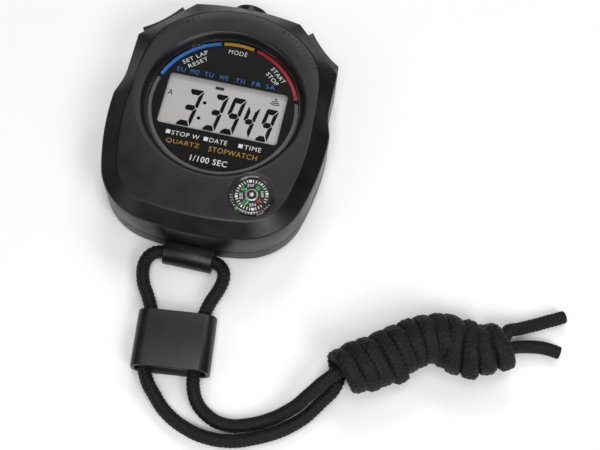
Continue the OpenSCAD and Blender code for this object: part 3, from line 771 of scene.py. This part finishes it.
def cone_height(u, r):
    """The dish falls gently from the panel towards the dial."""
    return FACE_Z - DISH_SLOPE * (DISH_R - math.hypot(r * u[0], r * u[1] - DISH_C[1]))


def torus_height(r):
    """The bezel's inner edge, a quarter circle from upright to level."""
    return FACE_Z - BEZEL_R + math.sqrt(max(0, BEZEL_R**2 - (RIDGE_R - r) ** 2))


def ridge_radius(u):
    """Where the bezel's rounded edge meets the dish in direction u."""
    low, high = RECESS_R, RIDGE_R
    for _ in range(40):
        middle = (low + high) / 2
        if torus_height(middle) < cone_height(u, middle):
            low = middle
        else:
            high = middle
    return low


def opening_reach(u):
    """How far the display's opening reaches from the dial's axis in direction u."""
    half_h = 8.2 if u[1] > 0 else 8.9
    return min(17.15 / max(abs(u[0]), 0.01), half_h / max(abs(u[1]), 0.01))


def polar(radii):
    return [(u[0] * r, u[1] * r) for u, r in zip(DIRECTIONS, radii)]


def front_rings():
    """Rings of the front shell, from its lower outer edge over the face and back inside."""
    rings = [at(inset(0.14), SPLIT_Z), at(inset(0.02), 5.6), at(inset(0), 5.75)]
    rings += [at(inset(0), 10), at(inset(0), 14.0), at(inset(0.06), 14.25)]
    edge = at(inset(0.42), 14.62)
    rings += [at(inset(0.2), 14.46), edge]
    brow = at(panel(-0.42), 17.22)
    rings += [between(edge, brow, t) for t in (0.08, 0.35, 0.65, 0.92)]
    rings += [brow, at(panel(-0.16), 17.4), at(panel(0.12), 17.48), at(panel(0.45), FACE_Z)]
    dish = [reach(u, DISH_C, DISH_R) for u in DIRECTIONS]
    rings.append(at(polar([d + 0.3 for d in dish]), FACE_Z))
    ridge = [ridge_radius(u) for u in DIRECTIONS]
    for t in (0, 0.06, 0.3, 0.55, 0.8, 0.95):
        rings.append([
            (u[0] * r, u[1] * r, cone_height(u, r) - (0.012 if t == 0 else 0))
            for u, d, k in zip(DIRECTIONS, dish, ridge)
            for r in [d + (k - d) * t]
        ])
    for t in (0, 0.04, 0.1, 0.2, 0.32, 0.45, 0.58, 0.7, 0.8, 0.88, 0.94, 0.98, 1):
        rings.append([
            (u[0] * r, u[1] * r, torus_height(r) - (0.05 if t == 0 else 0.015 if t == 0.04 else 0))
            for u, k in zip(DIRECTIONS, ridge)
            for r in [k + (RECESS_R - k) * t]
        ])
    recess, cup = polar([RECESS_R] * COUNT), polar([SEAT_CUP_R] * COUNT)
    opening = polar([opening_reach(u) for u in DIRECTIONS])
    under_z = SEAT_Z - 0.9
    rings += [at(recess, 14.6), at(recess, SEAT_Z), at(opening, SEAT_Z), at(opening, under_z)]
    rings += [at(cup, under_z), at(cup, CEILING_Z), at(panel(1.5), CEILING_Z)]
    rings += [at(inset(WALL), 13.2), at(inset(WALL), SPLIT_Z)]
    return rings


def corner_turn(side):
    """Turns a shape that points along X to a corner button's place, on the right or the left."""
    turn = Matrix.Rotation(math.radians(45), 4, "Z")
    return turn if side > 0 else Matrix.Scale(-1, 4, (1, 0, 0)) @ turn


def button_cutters():
    """The openings for the round button and the two corner buttons."""
    cutters = [(rod_mesh((0, 28.5, BUTTON_Z), (0, 34, BUTTON_Z), 5.3), "DIFFERENCE")]
    for side in (1, -1):
        mesh = box_mesh((28.9, -5.65, 4.8), (33, 7.45, 13.2), corner_turn(side))
        if side < 0:
            mesh.flip_normals()
        cutters.append((mesh, "DIFFERENCE"))
    return cutters


def add_front_case():
    mesh = grid_mesh("front_shell", front_rings(), closed_loop=True)
    pocket = rod_mesh((*COMPASS, 13.9), (*COMPASS, 20), 6.03, 96)
    mesh = combined(mesh, (pocket, "DIFFERENCE"), *button_cutters())
    return piece(
        "front_shell", mesh, LOOKS["case_plastic"], "case", ("front_case",), 32
    )


def lug_mesh():
    """The bar across the lower edge that the cord runs through, rounded on its outside."""
    profile = [(-36, 0), (-36, 5.4), (-37.8, 5.4), (-37.8, 6.4), (-40.2, 6.4)]
    profile += arc((-39.95, CHANNEL_Z), 3.13, 80, 280, 22)
    profile.append((-39.9, 0))
    bm = bmesh.new()
    verts = [bm.verts.new((-LUG_W / 2 * MM, y * MM, z * MM)) for y, z in profile]
    face = bm.faces.new(verts)
    made = bmesh.ops.extrude_face_region(bm, geom=[face])
    moved = [g for g in made["geom"] if isinstance(g, bmesh.types.BMVert)]
    bmesh.ops.translate(bm, verts=moved, vec=(LUG_W * MM, 0, 0))
    bmesh.ops.recalc_face_normals(bm, faces=bm.faces)
    return mesh_of(bm, "lug")


def add_back_case():
    edge_round = 1.2
    rings = []
    for a in range(0, 91, 18):
        d, z = (edge_round - edge_round * f(math.radians(a)) for f in (math.sin, math.cos))
        rings.append(at(inset(d), z))
    rings += [at(inset(0), 3.4), at(inset(0), 5.25), at(inset(0.02), 5.4)]
    rings += [at(inset(0.14), SPLIT_Z), at(inset(WALL), SPLIT_Z), at(inset(WALL), 1.6)]
    shell = grid_mesh("back_shell", rings)
    holes = [(rod_mesh((x, y, -1), (x, y, 1.2), 2.15, 48), "DIFFERENCE") for x, y in SCREWS]
    mesh = combined(
        shell,
        (softened(lug_mesh(), 0.22, 2), "UNION"),
        (
            rod_mesh((-9, CHANNEL_Y, CHANNEL_Z), (9, CHANNEL_Y, CHANNEL_Z), CHANNEL_R, 48),
            "DIFFERENCE",
        ),
        *holes,
        *button_cutters(),
    )
    return piece(
        "back_shell", mesh, LOOKS["case_plastic"], "case", ("back_case",), 32
    )


add_front_case()
add_back_case()


# ---------------------------------------------------------------- lettering

PRINT_THICK = 0.02


def text_mesh(words, bold, spacing):
    curve = bpy.data.curves.new("words", "FONT")
    curve.body = words
    curve.align_x, curve.align_y = "CENTER", "CENTER"
    curve.offset = bold
    curve.space_character = spacing
    curve.resolution_u = 4
    obj = bpy.data.objects.new("words", curve)
    bpy.context.scene.collection.objects.link(obj)
    mesh = evaluated(obj)
    bpy.data.objects.remove(obj)
    return mesh


def label(
    words, x, y, width, height, z, turn=0.0, bold=0.0, thick=PRINT_THICK, spacing=1.12
):
    """Printed words, width by height millimetres, centred at (x, y) and thick above z."""
    bm = bmesh.new()
    bm.from_mesh(text_mesh(words, bold, spacing))
    bmesh.ops.remove_doubles(bm, verts=bm.verts, dist=1e-5)
    xs, ys = [v.co.x for v in bm.verts], [v.co.y for v in bm.verts]
    cx, cy = (min(xs) + max(xs)) / 2, (min(ys) + max(ys)) / 2
    kx, ky = width / (max(xs) - min(xs)), height / (max(ys) - min(ys))
    c, s = math.cos(math.radians(turn)), math.sin(math.radians(turn))
    for v in bm.verts:
        px, py = (v.co.x - cx) * kx, (v.co.y - cy) * ky
        v.co = Vector(((x + c * px - s * py) * MM, (y + s * px + c * py) * MM, z * MM))
    return thickened(bm, thick)


def thickened(bm, thick=PRINT_THICK):
    made = bmesh.ops.extrude_face_region(bm, geom=bm.faces[:])
    moved = [g for g in made["geom"] if isinstance(g, bmesh.types.BMVert)]
    bmesh.ops.translate(bm, verts=moved, vec=(0, 0, thick * MM))
    bmesh.ops.recalc_face_normals(bm, faces=bm.faces)
    return mesh_of(bm, "print")


def flat_shape(points, z, thick=PRINT_THICK):
    bm = bmesh.new()
    bm.faces.new([bm.verts.new((x * MM, y * MM, z * MM)) for x, y in points])
    return thickened(bm, thick)


def ring_part(r0, r1, a, b, z, centre=(0, 0)):
    n = max(2, int(abs(b - a) / 1.5))
    outer, inner = arc(centre, r1, a, b, n), arc(centre, r0, a, b, n)
    bm = bmesh.new()
    o = [bm.verts.new((x * MM, y * MM, z * MM)) for x, y in outer]
    i = [bm.verts.new((x * MM, y * MM, z * MM)) for x, y in inner]
    for k in range(n):
        bm.faces.new((o[k], o[k + 1], i[k + 1], i[k]))
    return thickened(bm)


def joined(name, meshes, material, body="case"):
    bm = bmesh.new()
    for mesh in meshes:
        bm.from_mesh(mesh)
    return piece(name, mesh_of(bm, name), material, body)


def rectangle(x, y, w, h):
    return [
        (x - w / 2, y - h / 2), (x + w / 2, y - h / 2),
        (x + w / 2, y + h / 2), (x - w / 2, y + h / 2),
    ]


def rounded_window(z0, z1):
    """A block the shape of the dial's opening for the display, with rounded corners."""
    x, y0, y1, radius = 16.35, -8.1, 7.4, 0.9
    points = []
    for cx, cy, a in (
        (x - radius, y0 + radius, -90), (x - radius, y1 - radius, 0),
        (-x + radius, y1 - radius, 90), (-x + radius, y0 + radius, 180),
    ):
        points += arc((cx, cy), radius, a, a + 90, 6)
    return flat_shape(points, z0, z1 - z0)


def add_plate():
    """The dial sheet, with a rounded opening for the display."""
    r, under_z = RECESS_R - 0.15, 13.82
    disc_mesh = turned([(0, under_z), (r, under_z), (r, DIAL_Z), (0, DIAL_Z)], sides=160)
    mesh = combined(disc_mesh, (rounded_window(13, 15), "DIFFERENCE"))
    piece("dial_sheet", mesh, LOOKS["dial_print"], "case", ("dial_plate",))


def add_dial():
    """The printed dial: coloured ring, function names, weekdays and mode marks, and a grey ring
    that paints a highlight on the lens's rim.
    """
    z = DIAL_Z - 0.015
    ring = (19.2, 20.15)
    white = [
        label("MODE", 0.05, 17.25, 5.1, 1.35, z, bold=-0.01),
        label("SET LAP", -11.05, 13.4, 7.4, 1.2, z, 39),
        label("RESET", -9.9, 11.95, 5.7, 1.2, z, 39),
        label("START", 12.3, 12.85, 5.6, 1.2, z, -42),
        label("STOP", 10.95, 11.45, 4.6, 1.2, z, -42),
        label("STOP W", -7.75, -10.4, 7.5, 1.3, z),
        label("DATE", 1.15, -10.4, 4.8, 1.3, z),
        label("TIME", 10.5, -10.4, 4.6, 1.3, z),
        label("1/100 SEC", 0, -16.5, 9.9, 1.7, z, bold=0.01),
    ]
    white += [flat_shape(rectangle(x, -10.35, 1.15, 1.15), z) for x in (-12.5, -2.25, 7.2)]
    joined("dial_words_white", white, PRINT["white"])
    days = zip("SU MO TU WE TH FR SA".split(), (-13.8, -10, -6.1, -1.95, 2.6, 7.1, 11))
    blue = [label(day, x, 8.85, 2.4, 1.3, z, bold=-0.008, spacing=1.2) for day, x in days]
    blue.append(ring_part(*ring, 105, 161.5, z))
    joined("dial_print_blue", blue, PRINT["blue"])
    gold = [
        label("QUARTZ", -7.9, -12.95, 9, 1.5, z),
        label("STOPWATCH", 5.7, -12.95, 13, 1.5, z),
        ring_part(*ring, 78, 102.5, z),
    ]
    joined("dial_print_gold", gold, PRINT["gold"])
    joined("dial_ring_red", [ring_part(*ring, 19, 75, z)], PRINT["red"])
    joined("dial_ring_grey", [ring_part(*ring, 164.5, 375.5, z)], PRINT["grey"])
    # A grey ring just under the lens's top at its rim: a painted highlight
    joined("painted_lens_rim_highlight", [ring_part(20.42, 20.62, 0, 360, 14.985)], PRINT["edge"])


def segment_shapes(cx, cy, w, h, lit):
    """The lit segments of one digit as slanted six-sided bars."""
    tx, ty, gap, slant = 1.02, 1.68, 0.3, 0.14
    side, half = w / 2, h / 2

    def lean(points):
        return [(cx + x + slant * y, cy + y) for x, y in points]

    def end_bar(y, s):
        low = y + s * ty
        return [
            (-side + 0.2, y), (side - gap - 0.15, y), (side - gap - 0.05, y + s * 0.3),
            (side - tx - gap + 0.15, low), (-side + tx - 0.1, low), (-side + 0.15, y + s * 0.75),
        ][:: s]

    def middle_bar():
        tip, shoulder, k = side - 0.35 - gap / 2, side - tx, ty / 2
        return [(-tip, 0), (-shoulder, -k), (shoulder, -k), (tip, 0), (shoulder, k), (-shoulder, k)]

    def upright(s, t):
        x = s * side
        return [
            (x, t * 0.3), (x, t * (half - gap - 0.3)), (x - s * 0.15, t * (half - gap - 0.1)),
            (x - s * tx, t * (half - ty - gap)), (x - s * tx, t * (ty / 2 + gap * 0.6)),
            (x - s * 0.4, t * gap / 2),
        ][:: s * t]

    bars = {
        "a": end_bar(half, -1), "g": middle_bar(), "d": end_bar(-half, 1),
        "b": upright(1, 1), "c": upright(1, -1), "f": upright(-1, 1), "e": upright(-1, -1),
    }
    return [lean(bars[k]) for k in lit]


def disc(x, y, r):
    return arc((x, y), r, 0, 342, 19)


def add_display():
    """The reading 3:39 49, with its colon, point and small marks."""
    z = 12.795
    lit = {"3": "abcdg", "9": "abcdfg", "4": "bcfg"}
    digits = [
        ("3", -8.8, -1.5, 3.9, 11.5), ("3", -1.75, -1.5, 3.5, 11.5), ("9", 3.1, -1.5, 3.6, 11.5),
        ("4", 7.5, -2.2, 3.2, 10.1), ("9", 12.5, -2.2, 3.3, 10.1),
    ]
    shapes = [s for n, x, y, w, h in digits for s in segment_shapes(x, y, w, h, lit[n])]
    marks = [
        flat_shape(disc(-5.35, 0.75, 0.5), z), flat_shape(disc(-5.85, -4.1, 0.5), z),
        flat_shape(disc(13.2, 6.1, 0.28), z), label("A", -15.15, 1.95, 1.45, 1.75, z),
    ]
    marks += [
        ring_part(r, r + 0.27, 230, 310, z, centre=(13.2, 6.4)) for r in (0.85, 1.4, 1.95)
    ]
    joined("display_digits", [flat_shape(s, z) for s in shapes] + marks, PRINT["ink"])
    joined("display_marks", [flat_shape(rectangle(-2.4, 5.95, 2.4, 0.9), z)], PRINT["faint"])


def arc_words(words, middle, pitch):
    """Raised words along an arc round the dial, read clockwise."""
    r, height = 26.8, 1.1
    meshes = []
    start = middle + pitch * (len(words) - 1) / 2
    for i, letter in enumerate(words):
        a = start - pitch * i
        x, y = r * math.cos(math.radians(a)), r * math.sin(math.radians(a))
        width = height * (0.3 if letter in "I/" else 0.82)
        meshes.append(label(letter, x, y, width, height, 17.44, a - 90, 0.01, 0.18))
    return meshes


add_plate()
add_dial()
add_display()
joined(
    "raised_words",
    arc_words("LAP/RESET", 131.5, 3.45) + arc_words("START/STOP", 50.5, 3.3),
    LOOKS["case_plastic"], "case",
)


# ---------------------------------------------------------------- compass

def on_compass(r, a):
    return (
        COMPASS[0] + r * math.cos(math.radians(a)), COMPASS[1] + r * math.sin(math.radians(a))
    )


def spoke(a, r0, r1, w):
    p, q = on_compass(r0, a), on_compass(r1, a)
    n = (-math.sin(math.radians(a)) * w / 2, math.cos(math.radians(a)) * w / 2)
    return [
        (p[0] - n[0], p[1] - n[1]), (q[0] - n[0], q[1] - n[1]),
        (q[0] + n[0], q[1] + n[1]), (p[0] + n[0], p[1] + n[1]),
    ]


def add_compass_card():
    """Graduations every 11.25 degrees, wide every 45, with four letters between small bars."""
    z = 17.29
    north = -28
    widths = (0.46, 0.21, 0.21, 0.21, 0.74, 0.21, 0.21, 0.21)
    ticks = []
    for i in range(32):
        inner = 3.6 if i % 4 == 0 else 3.42 + 0.12 * (i % 2)
        if i:
            ticks.append(flat_shape(spoke(north + 11.25 * i, inner, 4.3, widths[i % 8]), z))
    bars = []
    for i, words in enumerate(("NW", "SW", "SE", "NE")):
        x, y = on_compass(2.72, north + 45 + 90 * i)
        bars.append(label(words, x, y, 1.75, 0.8, z, north + 45 + 90 * i - 90, 0.02))
    joined("compass_ticks", ticks, PRINT["white"], "compass_card")
    joined("compass_bars", bars, PRINT["silver_ink"], "compass_card")
    letters = []
    for letter, a in (("W", north + 90), ("S", north + 180), ("E", north + 270)):
        x, y = on_compass(2.5, a)
        letters.append(label(letter, x, y, 1.3, 1.3, z, a - 90, -0.012))
    joined("compass_letters", letters, PRINT["green"], "compass_card")
    arrow = [on_compass(3.5, north), on_compass(2.25, north + 19), on_compass(2.25, north - 19)]
    joined("compass_north", [flat_shape(arrow, z)], PRINT["red"], "compass_card")
    hub = turned(
        [(0, 17.28), (1.62, 17.28), (1.66, 17.36), (1.55, 17.46), (1.2, 17.52), (1.12, 17.6),
         (0.95, 17.7), (0.62, 17.74), (0.52, 17.83), (0.3, 17.88), (0, 17.89)],
        COMPASS, 48,
    )
    piece("compass_hub", hub, PRINT["silver"], "compass_card")


def add_compass_housing():
    """The black cup under a clear crystal, with marks on the low side of its rim that paint the
    reflection of the card's ticks and colours in the crystal's wall.
    """
    rim = turned(
        [(0, 13.95), (5.95, 13.95), (5.98, 17.6), (5.95, 17.72), (5.85, 17.8), (5.0, 17.8),
         (4.9, 17.76), (4.62, 17.45), (4.6, 14.85), (0, 14.8)],
        COMPASS, 96,
    )
    piece(
        "compass_housing", rim, LOOKS["compass_housing"], "case",
        ("compass_cup",),
    )
    # Silver marks on the low side of the rim only: a painted reflection of the card's ticks in the
    # crystal's side wall
    marks_z, marks_thick = 17.79, 0.03
    marks = [
        flat_shape(spoke(a, 5.0 + 0.12 * (a % 3), 5.65, 0.3), marks_z, marks_thick)
        for a in range(-166, -20, 8) if a not in (-126, -118, -54)
    ]
    joined("compass_painted_reflection_marks", marks, PRINT["silver_ink"])
    # The green and red marks are part of the same painted reflection of the card
    for ink, a, w in (("green", -122, 0.8), ("red", -54, 0.5)):
        mark = flat_shape(spoke(a, 4.98, 5.75, w), marks_z, marks_thick)
        joined("compass_painted_reflection_" + ink, [mark], PRINT[ink])
    outer = [(0, 0), (5.99, 0), (5.99, 0.85)]
    outer += [(5.54 + 0.45 * math.cos(t), 0.85 + 0.45 * math.sin(t)) for t in (0.3, 0.6, 0.9, 1.2)]
    outer += [(5.54 * k, 1.5 - 0.2 * k * k) for k in (1, 0.8, 0.6, 0.4, 0.2, 0)]
    crystal = turned([(r, 17.82 + z * 0.985) for r, z in outer], COMPASS, 96)
    piece(
        "compass_crystal", crystal, PRINT["crystal"], "case",
        ("compass_dome",), sharp=45,
    )


add_compass_card()
add_compass_housing()


# ---------------------------------------------------------------- plastic and metal parts

for name in ("mode_button", "start_stop_button", "lap_reset_button"):
    refined(name, 0.3 if name == "mode_button" else 0.8, 4)
refined("cord_slider", 0.3, 3)
refined("lcd_frame", 0.15)
lens = turned(
    [(0, 14.01), (20.6, 14.01), (20.66, 14.07), (20.66, 14.85), (20.62, 14.94), (20.54, 14.99),
     (20.45, 15), (20.4, 15), (0, 15)],
    sides=200,
)
piece(
    "window_pane", lens, LOOKS["window_plastic"], "case", ("window_lens",), 40
)

# The inward direction of each press; the spring and leaf are shown as copies of their CAD meshes
# and are not shortened
SPRINGS = {
    "mode": (0, -1, 0),
    "start_stop": (-0.7071, -0.7071, 0),
    "lap_reset": (0.7071, -0.7071, 0),
}
for name, inward in SPRINGS.items():
    for node, anchor, keep in (
        (name + "_return_spring", 25.8, 0.62), (name + "_switch_leaf", 22.6, 0.5),
    ):
        mesh = frame["nodes"][node].data.copy()
        slot = SLOT_OF[node]
        part = piece(node + "_flexed", mesh, LOOKS[slot], "case", (node,))
        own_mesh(part)

# CAD nodes that no piece stands for are shown as they are
SHOWN_NODES = {n: o for n, o in frame["nodes"].items() if not o.hide_render}
for name, obj in SHOWN_NODES.items():
    look = LOOKS[SLOT_OF[name]]
    if not obj.material_slots:
        obj.data.materials.append(look)
    for slot in obj.material_slots:
        slot.material = look


# ---------------------------------------------------------------- floor and light

def far_white(material):
    """Lets the floor fade into the pale backdrop far from the object, as seen by the camera."""
    tree = material.node_tree
    output = next(n for n in tree.nodes if n.type == "OUTPUT_MATERIAL")
    lit = output.inputs["Surface"].links[0].from_socket
    place = tree.nodes.new("ShaderNodeTexCoord")
    distance = tree.nodes.new("ShaderNodeVectorMath")
    distance.operation = "LENGTH"
    tree.links.new(place.outputs["Object"], distance.inputs[0])
    rays = tree.nodes.new("ShaderNodeLightPath")
    share = tree.nodes.new("ShaderNodeMath")
    share.operation = "MULTIPLY"
    tree.links.new(spread(tree, distance.outputs["Value"], 0, 1, 0.3, 1.1), share.inputs[0])
    tree.links.new(rays.outputs["Is Camera Ray"], share.inputs[1])
    glow = tree.nodes.new("ShaderNodeEmission")
    glow.inputs["Strength"].default_value = 0.95
    mix = tree.nodes.new("ShaderNodeMixShader")
    tree.links.new(share.outputs["Value"], mix.inputs["Fac"])
    tree.links.new(lit, mix.inputs[1])
    tree.links.new(glow.outputs["Emission"], mix.inputs[2])
    tree.links.new(mix.outputs["Shader"], output.inputs["Surface"])


def add_floor():
    bm = bmesh.new()
    bmesh.ops.create_grid(bm, x_segments=1, y_segments=1, size=3)
    bmesh.ops.translate(bm, verts=bm.verts, vec=(0, 0, -0.00005))
    mesh = mesh_of(bm, "floor")
    material = finish_of("floor", (0.92, 0.92, 0.92), 0.7, mottle=0.01, mottle_scale=20)
    far_white(material)
    mesh.materials.append(material)
    floor = bpy.data.objects.new("floor", mesh)
    bpy.context.scene.collection.objects.link(floor)


def add_light(name, place, target, size, power):
    data = bpy.data.lights.new(name, "AREA")
    data.shape = "RECTANGLE"
    data.size, data.size_y = size
    data.energy = power
    light = bpy.data.objects.new(name, data)
    light.location = place
    light.rotation_euler = (Vector(target) - Vector(place)).to_track_quat("-Z", "Y").to_euler()
    bpy.context.scene.collection.objects.link(light)


add_floor()
for name, place, power in (
    ("back", (-0.10, 0.80, 0.85), 3.1),
    ("above", (0.05, -0.02, 0.97), 1.8),
    ("front", (0.05, -0.45, 0.85), 2.5),
    ("front_right", (0.50, -0.48, 0.60), 3.2),
    ("front_left", (-0.56, -0.52, 0.53), 1.1),
    ("right_back", (0.38, 0.45, 0.75), 1.4),
    ("left", (-0.45, -0.15, 0.85), 0.4),
    ("low_right", (0.82, -0.60, 0.26), 0.8),
):
    add_light(name, place, (0, -0.02, 0), (0.35, 0.35), power)
add_light("below_floor", (0, 0, -1), (0, 0, 0), (2.4, 2.4), 14)


def add_world():
    """A dim room behind a pale backdrop."""
    world = bpy.data.worlds.new("studio")
    world.use_nodes = True
    tree = world.node_tree
    background = tree.nodes["Background"]
    background.inputs["Color"].default_value = (1, 1, 1, 1)
    rays = tree.nodes.new("ShaderNodeLightPath")
    tree.links.new(
        spread(tree, rays.outputs["Is Camera Ray"], 0.03, 0.95, 0, 1), background.inputs["Strength"]
    )
    bpy.context.scene.world = world


add_world()

import json
